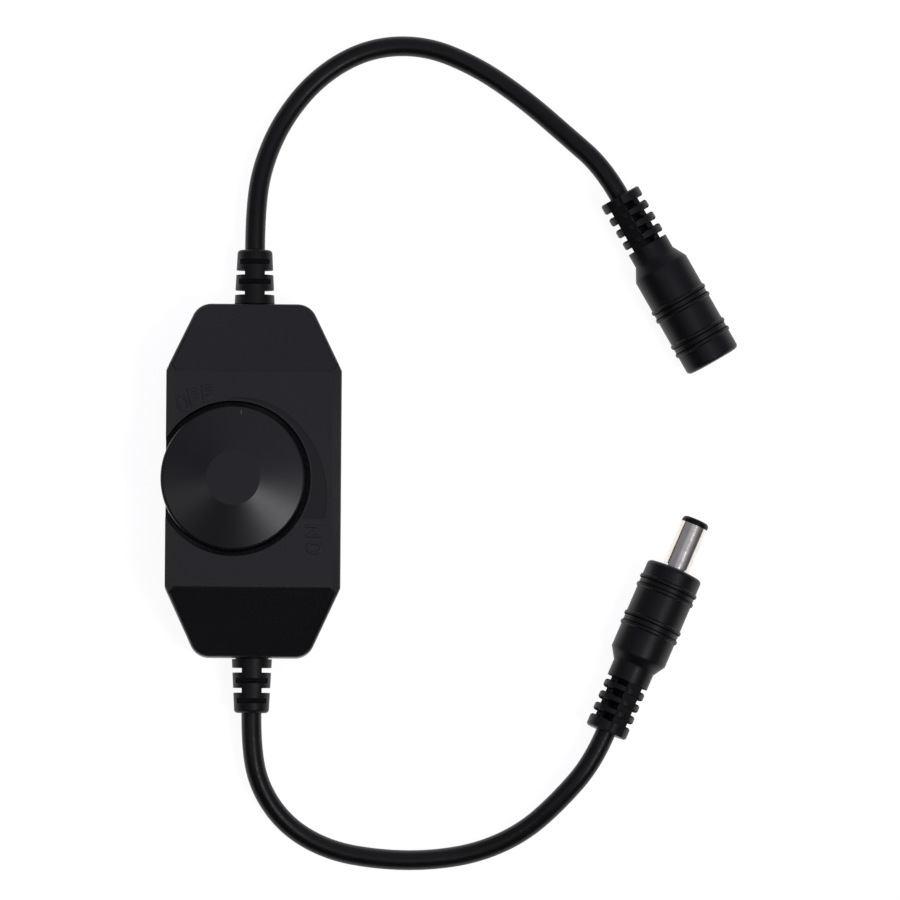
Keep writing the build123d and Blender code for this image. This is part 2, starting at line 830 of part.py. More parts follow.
def wire_path(x_side, y_side):
    """Points of a wire: straight out of the relief, then outwards to lie on its solder joint."""
    return [
        (x_side * wire_spread, y_side * gland_root, gland_height),
        (x_side * wire_spread, y_side * (gland_root - wire_straight), gland_height),
        (x_side * wire_pad_spread, y_side * wire_pad_y, gland_height),
    ]


with BuildPart() as input_positive_wire:
    with BuildLine() as input_positive_path:
        FilletPolyline(*wire_path(-1, 1), radius=wire_bend)
    with BuildSketch(Plane(input_positive_path.line @ 0, z_dir=input_positive_path.line % 0)):
        Circle(wire_radius)
    sweep(path=input_positive_path.line)

input_positive_wire.part.label = "input_positive_wire"
export_step(input_positive_wire.part, "parts/input_positive_wire.step")

with BuildPart() as input_negative_wire:
    with BuildLine() as input_negative_path:
        FilletPolyline(*wire_path(1, 1), radius=wire_bend)
    with BuildSketch(Plane(input_negative_path.line @ 0, z_dir=input_negative_path.line % 0)):
        Circle(wire_radius)
    sweep(path=input_negative_path.line)

input_negative_wire.part.label = "input_negative_wire"
export_step(input_negative_wire.part, "parts/input_negative_wire.step")

with BuildPart() as output_positive_wire:
    with BuildLine() as output_positive_path:
        FilletPolyline(*wire_path(-1, -1), radius=wire_bend)
    with BuildSketch(Plane(output_positive_path.line @ 0, z_dir=output_positive_path.line % 0)):
        Circle(wire_radius)
    sweep(path=output_positive_path.line)

output_positive_wire.part.label = "output_positive_wire"
export_step(output_positive_wire.part, "parts/output_positive_wire.step")

with BuildPart() as output_negative_wire:
    with BuildLine() as output_negative_path:
        FilletPolyline(*wire_path(1, -1), radius=wire_bend)
    with BuildSketch(Plane(output_negative_path.line @ 0, z_dir=output_negative_path.line % 0)):
        Circle(wire_radius)
    sweep(path=output_negative_path.line)

output_negative_wire.part.label = "output_negative_wire"
export_step(output_negative_wire.part, "parts/output_negative_wire.step")


# Connectors, each drawn on a plane at its front face whose normal points out of it

def front_plane(face, heading, dip, roll):
    """Plane at a connector's front: heading turns from +Y towards +X, dip tilts the nose down."""
    level = cos(radians(dip))
    outward = Vector(sin(radians(heading)) * level, cos(radians(heading)) * level, -sin(radians(dip)))
    across = Vector(cos(radians(heading)), -sin(radians(heading)), 0).rotate(Axis((0, 0, 0), outward), roll)
    return Plane(face, x_dir=across, z_dir=outward)


def length_plane(front):
    """Plane through a connector's axis: x is the distance from the axis, y runs out of the front."""
    return Plane(front.origin, x_dir=front.x_dir, z_dir=-front.y_dir)


def grip_outline(ridges, shoulder, neck, relief_start):
    """Half outline of a grip with raised ridges, from its crowned face round the back to the axis."""
    points = [(grip_radius, -front_crown)]
    for ridge in ridges:
        points.append((grip_radius, -ridge + ridge_width / 2))
        points.append((ridge_radius, -ridge + ridge_width / 4))
        points.append((ridge_radius, -ridge - ridge_width / 4))
        points.append((grip_radius, -ridge - ridge_width / 2))
    points += [(grip_radius, -shoulder), (relief_radius, -neck), (relief_radius, -relief_start)]
    return points + [(0, -relief_start), (0, 0)]


def rib_spans(relief_start, gap, rib, end_rib):
    """Back and thickness of each rib of a strain relief, the end rib last."""
    spans = []
    for i in range(rib_count):
        spans.append((relief_start + (i + 1) * (gap + rib), rib))
    spans.append((relief_start + rib_count * (gap + rib) + gap + end_rib, end_rib))
    return spans


plug_front = front_plane(plug_face, plug_heading, plug_dip, plug_roll)
plug_axis = Axis(plug_front.origin, plug_front.z_dir)
plug_section = length_plane(plug_front)
socket_front = front_plane(socket_mouth, socket_heading, socket_dip, socket_roll)
socket_axis = Axis(socket_front.origin, socket_front.z_dir)
socket_section = length_plane(socket_front)

contact_radius = plug_bore_radius + plug_contact_wall
liner_radius = barrel_radius - barrel_wall - fit_gap
liner_tail_radius = barrel_tail_radius - barrel_wall - fit_gap
step_front = barrel_root + barrel_step

with BuildPart() as plug_body:
    with BuildSketch(plug_section):
        with BuildLine():
            Polyline(*grip_outline(plug_ridges, plug_shoulder, plug_neck, plug_relief_start))
            TangentArc((0, 0), (grip_radius, -front_crown), tangent=(1, 0))
        make_face()
    revolve(axis=plug_axis)
    fillet(plug_body.faces().sort_by(plug_axis)[-1].edges(), front_rounding)
    for back, thickness in rib_spans(plug_relief_start, plug_gap, plug_rib, plug_end_rib):
        with BuildSketch(plug_section):
            with Locations((relief_radius / 2, -back + thickness / 2)):
                rib_section = Rectangle(relief_radius, thickness)
            chamfer(rib_section.vertices().group_by(Axis.X)[-1], rib_chamfer)
        revolve(axis=plug_axis)
    with BuildSketch(plug_front.offset(-plug_length)):
        Circle(relief_core_radius)
        Rectangle(relief_web, 2 * (relief_radius - relief_web_inset))
    extrude(amount=plug_length - plug_relief_start)
    with BuildSketch(plug_front.offset(-barrel_tail - fit_gap)):
        Circle(barrel_tail_radius + fit_gap)
    extrude(amount=barrel_tail + fit_gap, mode=Mode.SUBTRACT)
    with BuildSketch(plug_front.offset(-barrel_tail - fit_gap)):
        Circle(barrel_flange_radius + fit_gap)
    extrude(amount=barrel_flange + 2 * fit_gap, mode=Mode.SUBTRACT)
    with BuildSketch(plug_front.offset(-plug_contact_tail - fit_gap)):
        Circle(contact_radius + fit_gap)
    extrude(amount=plug_contact_tail, mode=Mode.SUBTRACT)

plug_body.part.label = "plug_body"
export_step(plug_body.part, "parts/plug_body.step")

with BuildPart() as plug_barrel:
    with BuildSketch(plug_front.offset(barrel_root)):
        Circle(barrel_radius)
    extrude(amount=barrel_length - barrel_root)
    with BuildSketch(plug_front.offset(-barrel_tail)):
        Circle(barrel_tail_radius)
    extrude(amount=barrel_tail + step_front)
    with BuildSketch(plug_front.offset(-barrel_tail)):
        Circle(barrel_flange_radius)
    extrude(amount=barrel_flange)
    # The bore narrows with the tail, so that the wall keeps its thickness past the step
    with BuildSketch(plug_front.offset(step_front)):
        Circle(barrel_radius - barrel_wall)
    extrude(amount=barrel_length - step_front, mode=Mode.SUBTRACT)
    with BuildSketch(plug_front.offset(-barrel_tail)):
        Circle(barrel_tail_radius - barrel_wall)
    extrude(amount=barrel_tail + step_front, mode=Mode.SUBTRACT)

plug_barrel.part.label = "plug_barrel"
export_step(plug_barrel.part, "parts/plug_barrel.step")

with BuildPart() as plug_insulator:
    with BuildSketch(plug_front.offset(-barrel_tail)):
        Circle(liner_tail_radius)
    extrude(amount=barrel_tail + barrel_length)
    with BuildSketch(plug_front.offset(step_front + fit_gap)):
        Circle(liner_radius)
    extrude(amount=barrel_length - step_front - fit_gap)
    with BuildSketch(plug_front.offset(barrel_length)):
        Circle(barrel_radius)
    tip = extrude(amount=tip_length)
    fillet(tip.edges().sort_by(plug_axis)[-1], tip_rounding)
    with BuildSketch(plug_front.offset(barrel_length + tip_length - plug_contact_recess)):
        Circle(plug_mouth_radius)
    extrude(amount=plug_contact_recess, mode=Mode.SUBTRACT)
    with BuildSketch(plug_front.offset(-barrel_tail)):
        Circle(contact_radius + fit_gap)
    liner_length = barrel_tail + barrel_length + tip_length - plug_contact_recess
    extrude(amount=liner_length, mode=Mode.SUBTRACT)

plug_insulator.part.label = "plug_insulator"
export_step(plug_insulator.part, "parts/plug_insulator.step")

with BuildPart() as plug_inner_contact:
    contact_front = barrel_length + tip_length - plug_contact_recess - fit_gap
    with BuildSketch(plug_front.offset(-plug_contact_tail)):
        Circle(contact_radius)
    extrude(amount=plug_contact_tail + contact_front)
    with BuildSketch(plug_front.offset(contact_front)):
        Circle(plug_bore_radius)
    extrude(amount=-plug_bore_depth, mode=Mode.SUBTRACT)

plug_inner_contact.part.label = "plug_inner_contact"
export_step(plug_inner_contact.part, "parts/plug_inner_contact.step")

core_back = socket_core_recess + socket_core_length
bore_bottom = socket_core_recess + socket_bore_depth

with BuildPart() as socket_body:
    with BuildSketch(socket_section):
        with BuildLine():
            Polyline(*grip_outline(socket_ridges, socket_shoulder, socket_neck, socket_relief_start))
            TangentArc((0, 0), (grip_radius, -front_crown), tangent=(1, 0))
        make_face()
    revolve(axis=socket_axis)
    fillet(socket_body.faces().sort_by(socket_axis)[-1].edges(), front_rounding)
    for back, thickness in rib_spans(socket_relief_start, socket_gap, socket_rib, socket_end_rib):
        with BuildSketch(socket_section):
            with Locations((relief_radius / 2, -back + thickness / 2)):
                rib_section = Rectangle(relief_radius, thickness)
            chamfer(rib_section.vertices().group_by(Axis.X)[-1], rib_chamfer)
        revolve(axis=socket_axis)
    with BuildSketch(socket_front.offset(-socket_length)):
        Circle(relief_core_radius)
        Rectangle(relief_web, 2 * (relief_radius - relief_web_inset))
    extrude(amount=socket_length - socket_relief_start)
    with BuildSketch(socket_front):
        Circle(socket_core_radius + fit_gap)
    extrude(amount=-core_back - fit_gap, mode=Mode.SUBTRACT)
    with BuildSketch(socket_front.offset(-core_back)):
        Circle(pin_tail_radius + fit_gap)
    extrude(amount=-pin_tail, mode=Mode.SUBTRACT)

socket_body.part.label = "socket_body"
export_step(socket_body.part, "parts/socket_body.step")

with BuildPart() as socket_core:
    with BuildSketch(socket_front.offset(-core_back)):
        Circle(socket_core_radius)
        Circle(pin_tail_radius + fit_gap, mode=Mode.SUBTRACT)
    extrude(amount=socket_core_length)
    with BuildSketch(socket_front.offset(-bore_bottom)):
        Circle(socket_bore_radius)
    extrude(amount=socket_bore_depth, mode=Mode.SUBTRACT)
    with BuildSketch(socket_front.offset(-core_back)):
        with Locations((socket_bore_radius + contact_thickness / 2, 0)):
            Rectangle(contact_thickness + 2 * fit_gap, contact_width + 2 * fit_gap)
    extrude(amount=socket_core_length - contact_front_gap + fit_gap, mode=Mode.SUBTRACT)

socket_core.part.label = "socket_core"
export_step(socket_core.part, "parts/socket_core.step")

with BuildPart() as socket_contact:
    with BuildSketch(socket_front.offset(-core_back)):
        with Locations((socket_bore_radius + contact_thickness / 2, 0)):
            Rectangle(contact_thickness, contact_width)
    extrude(amount=socket_core_length - contact_front_gap)

socket_contact.part.label = "socket_contact"
export_step(socket_contact.part, "parts/socket_contact.step")

with BuildPart() as socket_centre_pin:
    with BuildSketch(socket_front.offset(pin_root - bore_bottom)):
        Circle(pin_radius)
    extrude(amount=pin_length - pin_root)
    chamfer(socket_centre_pin.edges().sort_by(socket_axis)[-1], pin_tip_chamfer)
    with BuildSketch(socket_front.offset(pin_root - bore_bottom)):
        Circle(pin_tail_radius)
    extrude(amount=bore_bottom - pin_root - core_back - pin_tail + fit_gap)

socket_centre_pin.part.label = "socket_centre_pin"
export_step(socket_centre_pin.part, "parts/socket_centre_pin.step")


# Cords, from the relief's end face to the connector's rear face

def cord_points(start, route, front, length):
    """A cord's points: the route, then a straight lead into the connector's rear."""
    rear = front.origin - front.z_dir * length
    lead = rear - front.z_dir * cord_lead_in
    return [Vector(start)] + [Vector(point) for point in route] + [lead, rear]


def bend_radii(points):
    """Largest even radius for each turn: the arcs take a set share of the shorter run beside them."""
    radii = []
    for before, here, after in zip(points, points[1:], points[2:]):
        turn = radians((here - before).get_angle(after - here))
        shorter = min((here - before).length, (after - here).length)
        radii.append(bend_share * shorter / tan(turn / 2))
    return radii


input_points = cord_points((0, gland_end, gland_height), input_route, socket_front, socket_length)
output_points = cord_points((0, -gland_end, gland_height), output_route, plug_front, plug_length)

with BuildPart() as input_cord:
    with BuildLine() as input_path:
        FilletPolyline(*input_points, radius=bend_radii(input_points))
    with BuildSketch(Plane(input_path.line @ 0, z_dir=input_path.line % 0)):
        Circle(cord_radius)
    sweep(path=input_path.line)

input_cord.part.label = "input_cord"
export_step(input_cord.part, "parts/input_cord.step")

with BuildPart() as output_cord:
    with BuildLine() as output_path:
        FilletPolyline(*output_points, radius=bend_radii(output_points))
    with BuildSketch(Plane(output_path.line @ 0, z_dir=output_path.line % 0)):
        Circle(cord_radius)
    sweep(path=output_path.line)

output_cord.part.label = "output_cord"
export_step(output_cord.part, "parts/output_cord.step")

for name, path, points, solid in (
    ("input cord", input_path, input_points, input_cord),
    ("output cord", output_path, output_points, output_cord),
):
    length = sum(edge.length for edge in path.edges())
    print(name, "length", round(length, 2), "radii", [round(r, 1) for r in bend_radii(points)])
    print(name, "volume", round(solid.part.volume, 2))
    print(name, "section x length", round(pi * cord_radius**2 * length, 2))
    print(name, "lowest point", round(solid.part.bounding_box().min.Z, 3))
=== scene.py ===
"""Studio view of an in-line rotary dimmer: a low box with a thumb knob, between a DC socket and a DC plug."""

from __future__ import annotations

import json
import logging
import math
from collections.abc import Callable
from dataclasses import dataclass
from enum import Enum

import bmesh
import bpy
from mathutils import Matrix, Quaternion, Vector
from mathutils.bvhtree import BVHTree

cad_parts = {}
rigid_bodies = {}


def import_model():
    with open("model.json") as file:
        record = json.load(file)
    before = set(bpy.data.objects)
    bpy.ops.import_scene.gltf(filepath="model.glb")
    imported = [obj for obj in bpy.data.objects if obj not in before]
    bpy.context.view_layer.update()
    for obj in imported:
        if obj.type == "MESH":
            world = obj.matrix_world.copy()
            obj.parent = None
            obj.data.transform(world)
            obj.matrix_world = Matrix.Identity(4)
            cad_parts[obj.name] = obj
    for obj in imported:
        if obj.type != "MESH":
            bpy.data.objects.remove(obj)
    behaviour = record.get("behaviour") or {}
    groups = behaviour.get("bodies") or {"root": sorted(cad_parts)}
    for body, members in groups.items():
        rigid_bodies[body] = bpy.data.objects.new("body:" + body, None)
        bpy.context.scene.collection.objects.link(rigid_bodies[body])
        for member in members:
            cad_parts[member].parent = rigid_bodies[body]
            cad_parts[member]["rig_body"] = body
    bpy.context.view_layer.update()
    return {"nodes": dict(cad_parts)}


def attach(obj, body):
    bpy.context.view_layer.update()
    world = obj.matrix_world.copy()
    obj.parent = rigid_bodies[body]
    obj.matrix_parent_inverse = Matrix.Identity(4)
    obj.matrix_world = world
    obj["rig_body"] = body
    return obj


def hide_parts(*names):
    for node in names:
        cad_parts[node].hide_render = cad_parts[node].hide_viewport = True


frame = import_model()

log = logging.getLogger("dimmer")
MM = 0.001
Colour = tuple[float, float, float]
Point = tuple[float, float, float]
Range = tuple[float, float]
Socket = bpy.types.NodeSocket

# The knob's upright axis stands at this X, and at Y 0
KNOB_X = -4.05 * MM

# A pattern's whole range, and the parts of it that noise fills
WHOLE = (0.0, 1.0)
NOISE_SWING = (0.3, 0.7)
SOFT_NOISE_SWING = (0.35, 0.65)

# Inputs of a Map Range node, and places of the colours among a Mix node's inputs and outputs
RANGE_INPUTS = ("From Min", "From Max", "To Min", "To Max")
FIRST_COLOUR = 6
SECOND_COLOUR = 7
MIXED_COLOUR = 2

# Corners of a CAD node's mesh that are closer than this are one corner
MERGE_DISTANCE = 0.0005 * MM

# How far above an edge a ray starts that looks for anything in front of it
EDGE_CLEARANCE = 0.05 * MM


def set_range(node: bpy.types.Node, source: Range, result: Range) -> None:
    """Sets the two ranges of a Map Range node."""
    for name, value in zip(RANGE_INPUTS, (*source, *result)):
        node.inputs[name].default_value = value


class NodeBoard:
    """One material's nodes, with short ways to add and join them."""

    def __init__(self, name: str) -> None:
        """Starts a material with a Principled shader and Object coordinates.

        Args:
            name: The material's name.
        """
        self.material = bpy.data.materials.new(name)
        self.material.use_nodes = True
        self.tree = self.material.node_tree
        self.shader = self.tree.nodes["Principled BSDF"]
        self.place = self.add("ShaderNodeTexCoord").outputs["Object"]

    def add(self, kind: str, **settings: object) -> bpy.types.Node:
        """Adds a node.

        Args:
            kind: The node's type name.
            settings: Properties to set on it.

        Returns:
            The new node.
        """
        node = self.tree.nodes.new(kind)
        for key, value in settings.items():
            setattr(node, key, value)
        return node

    def join(self, source: Socket, target: Socket) -> None:
        """Links an output to an input."""
        self.tree.links.new(source, target)

    def noise(self, grain: float, detail: float) -> Socket:
        """Adds noise.

        Args:
            grain: Width of one blotch, in metres.
            detail: Octaves of finer noise.

        Returns:
            The noise's value, about 0 to 1.
        """
        node = self.add("ShaderNodeTexNoise")
        node.inputs["Scale"].default_value = 1.0 / grain
        node.inputs["Detail"].default_value = detail
        self.join(self.place, node.inputs["Vector"])
        return node.outputs["Fac"]

    def cells(self, grain: float) -> Socket:
        """Adds a cell pattern.

        Args:
            grain: Width of one cell, in metres.

        Returns:
            The distance from each cell's middle.
        """
        node = self.add("ShaderNodeTexVoronoi", feature="F1")
        node.inputs["Scale"].default_value = 1.0 / grain
        self.join(self.place, node.inputs["Vector"])
        return node.outputs["Distance"]

    def span(self, value: Socket, source: Range, result: Range) -> Socket:
        """Maps a value from one range to another, kept within it.

        Args:
            value: The value to map.
            source: The range it comes from.
            result: The range it is mapped to.

        Returns:
            The mapped value.
        """
        node = self.add("ShaderNodeMapRange")
        set_range(node, source, result)
        self.join(value, node.inputs["Value"])
        return node.outputs["Result"]

    def between(self, factor: Socket, low: Colour, high: Colour) -> Socket:
        """Mixes two colours.

        Args:
            factor: 0 for the first colour, 1 for the second.
            low: First colour, linear.
            high: Second colour, linear.

        Returns:
            The mixed colour.
        """
        node = self.add("ShaderNodeMix", data_type="RGBA")
        node.inputs[FIRST_COLOUR].default_value = (*low, 1.0)
        node.inputs[SECOND_COLOUR].default_value = (*high, 1.0)
        self.join(factor, node.inputs["Factor"])
        return node.outputs[MIXED_COLOUR]

    def bump(self, height: Socket, depth: float, under: Socket | None = None) -> Socket:
        """Turns a height pattern into a surface normal.

        Args:
            height: The pattern, 0 to 1.
            depth: Its depth in metres.
            under: A normal that it adds to.

        Returns:
            The normal.
        """
        node = self.add("ShaderNodeBump")
        node.inputs["Distance"].default_value = depth
        self.join(height, node.inputs["Height"])
        if under is not None:
            self.join(under, node.inputs["Normal"])
        return node.outputs["Normal"]

    def reckon(self, operation: str, first: Socket, second: Socket, use_clamp: bool = False) -> Socket:
        """Works out a number from two others.

        Args:
            operation: What is done with them.
            first: The first number.
            second: The second number.
            use_clamp: Whether the result is kept between 0 and 1.

        Returns:
            The result.
        """
        node = self.add("ShaderNodeMath", operation=operation, use_clamp=use_clamp)
        self.join(first, node.inputs[0])
        self.join(second, node.inputs[1])
        return node.outputs["Value"]

    def finish(
        self,
        colour: Socket,
        roughness: Socket,
        normal: Socket,
        **constants: float,
    ) -> bpy.types.Material:
        """Joins the three patterns to the shader and sets its plain values.

        Args:
            colour: Base colour.
            roughness: Roughness.
            normal: Surface normal.
            constants: Values for the shader's own sockets, with underscores for spaces.

        Returns:
            The finished material.
        """
        self.join(colour, self.shader.inputs["Base Color"])
        self.join(roughness, self.shader.inputs["Roughness"])
        self.join(normal, self.shader.inputs["Normal"])
        for name, value in constants.items():
            self.shader.inputs[name.replace("_", " ")].default_value = value
        return self.material


def shade(colour: Colour, factor: float) -> Colour:
    """Returns a colour made lighter or darker by a factor."""
    return tuple(min(1.0, part * factor) for part in colour)


@dataclass(frozen=True)
class MouldedPlastic:
    """Injection-moulded plastic with a spark-eroded grain and faint flow marks."""

    name: str
    colour: Colour
    roughness: float = 0.5
    grain: float = 0.35 * MM
    depth: float = 0.012 * MM
    mottle: float = 0.12
    gloss: float = 0.5
    patchiness: float = 0.06
    flow_width: float = 9 * MM
    grains_per_pit: float = 1.6

    def build(self) -> bpy.types.Material:
        """Returns the plastic's material."""
        board = NodeBoard(self.name)
        flow = board.noise(self.flow_width, detail=2.0)
        fine = board.noise(self.grain, detail=5.0)
        pits = board.cells(self.grain * self.grains_per_pit)
        tone = board.span(flow, NOISE_SWING, WHOLE)
        colour = board.between(tone, shade(self.colour, 1 - self.mottle), shade(self.colour, 1 + self.mottle))
        patches = (self.roughness - self.patchiness, self.roughness + self.patchiness)
        roughness = board.span(fine, NOISE_SWING, patches)
        normal = board.bump(pits, self.depth, board.bump(fine, self.depth))
        return board.finish(colour, roughness, normal, Specular_IOR_Level=self.gloss)


@dataclass(frozen=True)
class Jacket:
    """Extruded jacket of a cord, smooth with soft waves and a little dust."""

    name: str
    colour: Colour
    roughness: float = 0.36
    gloss: float = 0.5
    wave_width: float = 5 * MM
    wave_depth: float = 0.06 * MM
    dust_width: float = 0.5 * MM
    dust_depth: float = 0.004 * MM
    darkest: float = 0.85
    lightest: float = 1.15
    smoother: float = 0.05
    rougher: float = 0.07

    def build(self) -> bpy.types.Material:
        """Returns the jacket's material."""
        board = NodeBoard(self.name)
        waves = board.noise(self.wave_width, detail=1.0)
        dust = board.noise(self.dust_width, detail=4.0)
        tone = board.span(waves, SOFT_NOISE_SWING, WHOLE)
        colour = board.between(tone, shade(self.colour, self.darkest), shade(self.colour, self.lightest))
        patches = (self.roughness - self.smoother, self.roughness + self.rougher)
        roughness = board.span(dust, SOFT_NOISE_SWING, patches)
        normal = board.bump(waves, self.wave_depth, board.bump(dust, self.dust_depth))
        return board.finish(colour, roughness, normal, Specular_IOR_Level=self.gloss)


@dataclass(frozen=True)
class PlatedMetal:
    """Plated or drawn metal with a very fine grain and slight clouding."""

    name: str
    colour: Colour
    roughness: float = 0.16
    grain: float = 0.05 * MM
    depth: float = 0.0006 * MM
    cloud_width: float = 1.6 * MM
    darkest: float = 0.93
    lightest: float = 1.04
    smoother: float = 0.8
    rougher: float = 1.25

    def build(self) -> bpy.types.Material:
        """Returns the metal's material."""
        board = NodeBoard(self.name)
        cloud = board.noise(self.cloud_width, detail=3.0)
        fine = board.noise(self.grain, detail=2.0)
        tone = board.span(cloud, NOISE_SWING, WHOLE)
        colour = board.between(tone, shade(self.colour, self.darkest), shade(self.colour, self.lightest))
        patches = (self.roughness * self.smoother, self.roughness * self.rougher)
        roughness = board.span(cloud, NOISE_SWING, patches)
        return board.finish(colour, roughness, board.bump(fine, self.depth), Metallic=1.0)


@dataclass(frozen=True)
class BoardLaminate:
    """Green solder mask over glass laminate, with paler copper runs under it."""

    name: str
    mask: Colour
    copper: Colour
    run_spacing: float = 9 * MM
    run_offset: float = 0.37
    run_squash: float = 1.4
    run_width: float = 0.045
    run_softness: float = 0.2
    run_height: float = 0.03 * MM
    weave_width: float = 0.4 * MM
    weave_depth: float = 0.004 * MM
    roughness: Range = (0.25, 0.36)
    gloss: float = 0.5

    def build(self) -> bpy.types.Material:
        """Returns the laminate's material."""
        board = NodeBoard(self.name)
        runs = board.add("ShaderNodeTexBrick", offset=self.run_offset, squash=self.run_squash)
        runs.inputs["Scale"].default_value = 1.0 / self.run_spacing
        runs.inputs["Mortar Size"].default_value = self.run_width
        runs.inputs["Mortar Smooth"].default_value = self.run_softness
        board.join(board.place, runs.inputs["Vector"])
        weave = board.noise(self.weave_width, detail=3.0)
        colour = board.between(runs.outputs["Fac"], self.mask, self.copper)
        roughness = board.span(weave, NOISE_SWING, self.roughness)
        normal = board.bump(runs.outputs["Fac"], self.run_height, board.bump(weave, self.weave_depth))
        return board.finish(colour, roughness, normal, Specular_IOR_Level=self.gloss)


class Finishes(Enum):
    """Every finish of the dimmer, and two darker copies that paint the shade in slots and grooves."""

    HOUSING = MouldedPlastic("housing plastic", (0.0050, 0.0050, 0.0075), roughness=0.40)
    KNOB = MouldedPlastic(
        "knob plastic",
        (0.0045, 0.0045, 0.0068),
        roughness=0.32,
        grain=0.20 * MM,
        depth=0.0005 * MM,
        patchiness=0.02,
    )
    WEDGE = MouldedPlastic(
        "polished wedge",
        (0.0045, 0.0045, 0.0070),
        roughness=0.38,
        depth=0.006 * MM,
        gloss=0.40,
    )
    GLAND = MouldedPlastic(
        "relief plastic",
        (0.0040, 0.0040, 0.0050),
        roughness=0.45,
        depth=0.005 * MM,
        gloss=0.3,
    )
    CONNECTOR = MouldedPlastic(
        "connector plastic",
        (0.0045, 0.0045, 0.0060),
        roughness=0.42,
        depth=0.006 * MM,
        gloss=0.3,
    )
    INSULATOR = MouldedPlastic(
        "insulator plastic",
        (0.0035, 0.0035, 0.0040),
        roughness=0.38,
        depth=0.002 * MM,
        gloss=0.22,
    )
    # Painted shade: a darker, duller copy of the relief plastic, put on the faces deep in the strain reliefs'
    # grooves
    GROOVE_SHADE = MouldedPlastic(
        "relief groove painted shade",
        (0.0030, 0.0030, 0.0040),
        roughness=0.6,
        depth=0.004 * MM,
        gloss=0.18,
    )
    # Painted shade: a darker, less glossy copy of the connector plastic, put on the faces deep in the grips'
    # slots
    RECESS_SHADE = MouldedPlastic(
        "shaded recess plastic",
        (0.0020, 0.0020, 0.0026),
        roughness=0.75,
        depth=0.004 * MM,
        gloss=0.06,
    )
    CORD = Jacket("cord jacket", (0.0045, 0.0045, 0.0055), gloss=0.3)
    NICKEL = PlatedMetal("bright nickel", (0.90, 0.83, 0.74), roughness=0.16)
    BRONZE = PlatedMetal("spring bronze", (0.72, 0.50, 0.27), roughness=0.25)
    STEEL = PlatedMetal("plated steel", (0.56, 0.56, 0.57), roughness=0.30)
    TIN = PlatedMetal("soft tin", (0.68, 0.68, 0.70), roughness=0.34)
    CAN = PlatedMetal("drawn aluminium", (0.78, 0.78, 0.79), roughness=0.28)
    PHENOLIC = MouldedPlastic("brown laminate", (0.20, 0.10, 0.045), roughness=0.55)
    EPOXY = MouldedPlastic("moulded epoxy", (0.016, 0.016, 0.017), roughness=0.6)
    CERAMIC = MouldedPlastic("tan ceramic", (0.42, 0.30, 0.18), roughness=0.5, depth=0.004 * MM)
    RED_WIRE = Jacket("red insulation", (0.42, 0.012, 0.012))
    BLACK_WIRE = Jacket("black insulation", (0.014, 0.014, 0.015))
    MARK = MouldedPlastic("pale mark", (0.11, 0.11, 0.12), roughness=0.6, depth=0.003 * MM)
    BOARD = BoardLaminate("board laminate", mask=(0.012, 0.105, 0.035), copper=(0.03, 0.20, 0.07))


class Paintshop:
    """Builds each finish once and puts it on pieces and CAD nodes."""

    NODES: dict[str, Finishes] = {
        "top_housing": Finishes.HOUSING,
        "bottom_housing": Finishes.HOUSING,
        "knob": Finishes.KNOB,
        "input_gland": Finishes.GLAND,
        "output_gland": Finishes.GLAND,
        "plug_body": Finishes.CONNECTOR,
        "socket_body": Finishes.CONNECTOR,
        "plug_insulator": Finishes.INSULATOR,
        "socket_core": Finishes.INSULATOR,
        "plug_barrel": Finishes.NICKEL,
        "socket_centre_pin": Finishes.NICKEL,
        "plug_inner_contact": Finishes.BRONZE,
        "socket_contact": Finishes.BRONZE,
        "potentiometer_wiper": Finishes.BRONZE,
        "potentiometer_shaft": Finishes.STEEL,
        "potentiometer_body": Finishes.STEEL,
        "potentiometer_track": Finishes.PHENOLIC,
        "potentiometer_terminals": Finishes.TIN,
        "solder_joints": Finishes.TIN,
        "circuit_board": Finishes.BOARD,
        "mosfet": Finishes.EPOXY,
        "control_chip": Finishes.EPOXY,
        "voltage_regulator": Finishes.EPOXY,
        "diode": Finishes.EPOXY,
        "resistors": Finishes.EPOXY,
        "electrolytic_capacitor": Finishes.CAN,
        "ceramic_capacitors": Finishes.CERAMIC,
        "input_positive_wire": Finishes.RED_WIRE,
        "output_positive_wire": Finishes.RED_WIRE,
        "input_negative_wire": Finishes.BLACK_WIRE,
        "output_negative_wire": Finishes.BLACK_WIRE,
        "input_cord": Finishes.CORD,
        "output_cord": Finishes.CORD,
    }

    def __init__(self) -> None:
        """Starts with no material built."""
        self.built: dict[Finishes, bpy.types.Material] = {}

    def material(self, finish: Finishes) -> bpy.types.Material:
        """Returns a finish's material, built on first use."""
        if finish not in self.built:
            self.built[finish] = finish.value.build()
        return self.built[finish]

    def dress(self, piece: bpy.types.Object, *finishes: Finishes) -> None:
        """Gives a piece its materials, in place of any that it has.

        Args:
            piece: The piece.
            finishes: Its finishes, the first for every face that isn't marked for another.
        """
        # Clearing the list takes the marks off the faces, so a piece without materials isn't cleared
        if len(piece.data.materials):
            piece.data.materials.clear()
        for finish in finishes:
            piece.data.materials.append(self.material(finish))

    def dress_nodes(self) -> None:
        """Gives every CAD node its material."""
        for name, node in frame["nodes"].items():
            self.dress(node, self.NODES[name])
            log.info("dressed %s", name)


def new_piece(name: str, form: bmesh.types.BMesh) -> bpy.types.Object:
    """Makes an object at the origin from a finished form.

    Args:
        name: The piece's name.
        form: Its shape, which is freed.

    Returns:
        The new object, smooth shaded.
    """
    mesh = bpy.data.meshes.new(name)
    form.to_mesh(mesh)
    form.free()
    mesh.shade_smooth()
    piece = bpy.data.objects.new(name, mesh)
    bpy.context.scene.collection.objects.link(piece)
    return piece


def merged_form(node: str) -> bmesh.types.BMesh:
    """Copies a CAD node's mesh with its loose triangles joined.

    Args:
        node: The CAD node to copy.

    Returns:
        The joined shape.
    """
    form = bmesh.new()
    form.from_mesh(frame["nodes"][node].data)
    bmesh.ops.remove_doubles(form, verts=form.verts, dist=MERGE_DISTANCE)
    return form


